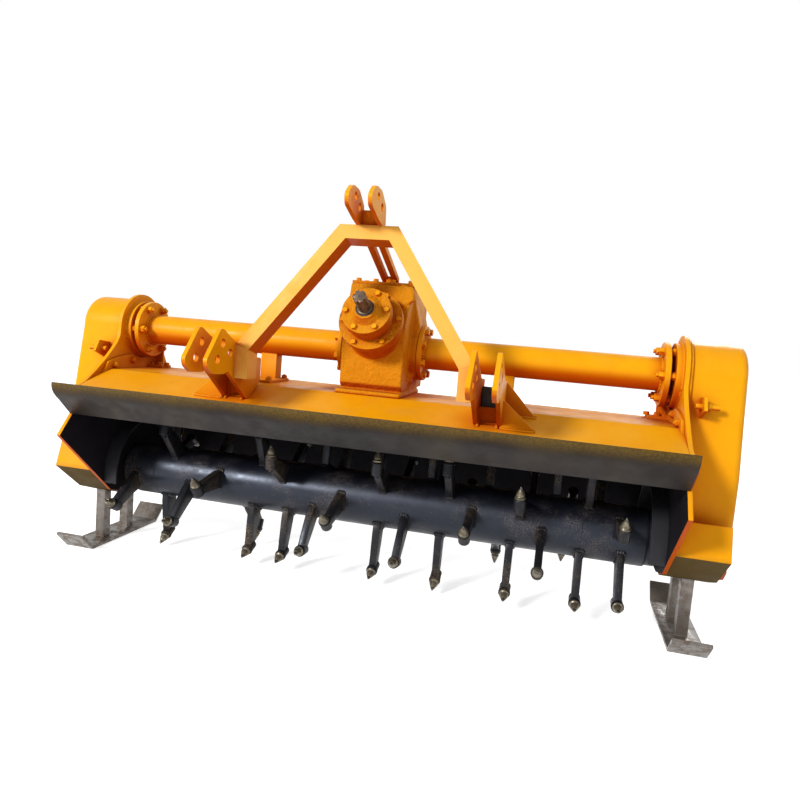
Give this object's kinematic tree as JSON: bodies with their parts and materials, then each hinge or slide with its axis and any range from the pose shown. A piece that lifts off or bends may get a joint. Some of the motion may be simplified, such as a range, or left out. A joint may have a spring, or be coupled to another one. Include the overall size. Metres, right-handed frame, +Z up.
{
  "type": "soil mixer",
  "caption": "Orange tractor-mounted soil mixer with a splined gearbox input, cross tube, side drive cases, three-point frame, black pick rotor, skids and hinged rear door",
  "frame": {"origin": "on the floor under the middle of the machine's box", "axes": "+Z up, tractor towards -Y, rotor along X"},
  "size_m": [2.444, 1.075, 1.381],
  "materials": {
    "orange_paint": "gloss",
    "rotor_black": "gloss",
    "pick_steel": "satin",
    "shaft_steel": "satin",
    "lip_dark": "satin",
    "pin_steel": "satin",
    "runner_dark": "satin"
  },
  "bodies": {
    "frame_body": {"brace_lug": "orange_paint", "door_hinge_lugs": "orange_paint", "door_hinge_pins": "pin_steel", "front_lip": "lip_dark", "gearbox_cover": "orange_paint", "gearbox_housing": "orange_paint", "hitch_frame": "orange_paint", "hood": "orange_paint", "input_bearing_cap": "orange_paint", "input_carrier": "orange_paint", "left_axle_tube": "orange_paint", "left_case_bracket": "orange_paint", "left_drive_case": "orange_paint", "left_end_bracket": "orange_paint", "left_end_guard": "rotor_black", "left_flange_spacers": "orange_paint", "left_hitch_bracket": "orange_paint", "left_hub_flange": "orange_paint", "left_rear_brace": "orange_paint", "left_rotor_bearing": "rotor_black", "left_side_plate": "orange_paint", "left_skid": "orange_paint", "left_skid_runner": "runner_dark", "left_tube_post": "orange_paint", "right_axle_tube": "orange_paint", "right_case_bracket": "orange_paint", "right_drive_case": "orange_paint", "right_end_bracket": "orange_paint", "right_end_guard": "rotor_black", "right_flange_spacers": "orange_paint", "right_hitch_bracket": "orange_paint", "right_hub_flange": "orange_paint", "right_rear_brace": "orange_paint", "right_rotor_bearing": "rotor_black", "right_side_plate": "orange_paint", "right_skid": "orange_paint", "right_skid_runner": "runner_dark", "right_tube_post": "orange_paint", "top_link_ears": "orange_paint", "top_link_spacer": "orange_paint"},
    "rotor_body": {"rotor_drum": "rotor_black", "pick_arms": "rotor_black", "picks": "pick_steel"},
    "input_body": {"input_shaft": "shaft_steel"},
    "door_body": {"rear_door": "orange_paint"}
  },
  "joints": [
    {"name": "rotor_spin", "type": "hinge", "parent": "frame_body", "child": "rotor_body", "pos_m": [0, 0.0625, 0.304], "axis": [1, 0, 0], "continuous": true},
    {"name": "input_spin", "type": "hinge", "parent": "frame_body", "child": "input_body", "pos_m": [0, 0.0625, 0.873], "axis": [0, -0.9078, 0.4195], "continuous": true},
    {"name": "rear_door_hinge", "type": "hinge", "parent": "frame_body", "child": "door_body", "pos_m": [0, 0.5205, 0.545], "axis": [1, 0, 0], "range_deg": [0, 75]}
  ],
  "couplings": [
    {"joint": "input_spin", "follows": "rotor_spin", "ratio": 2.2}
  ]
}
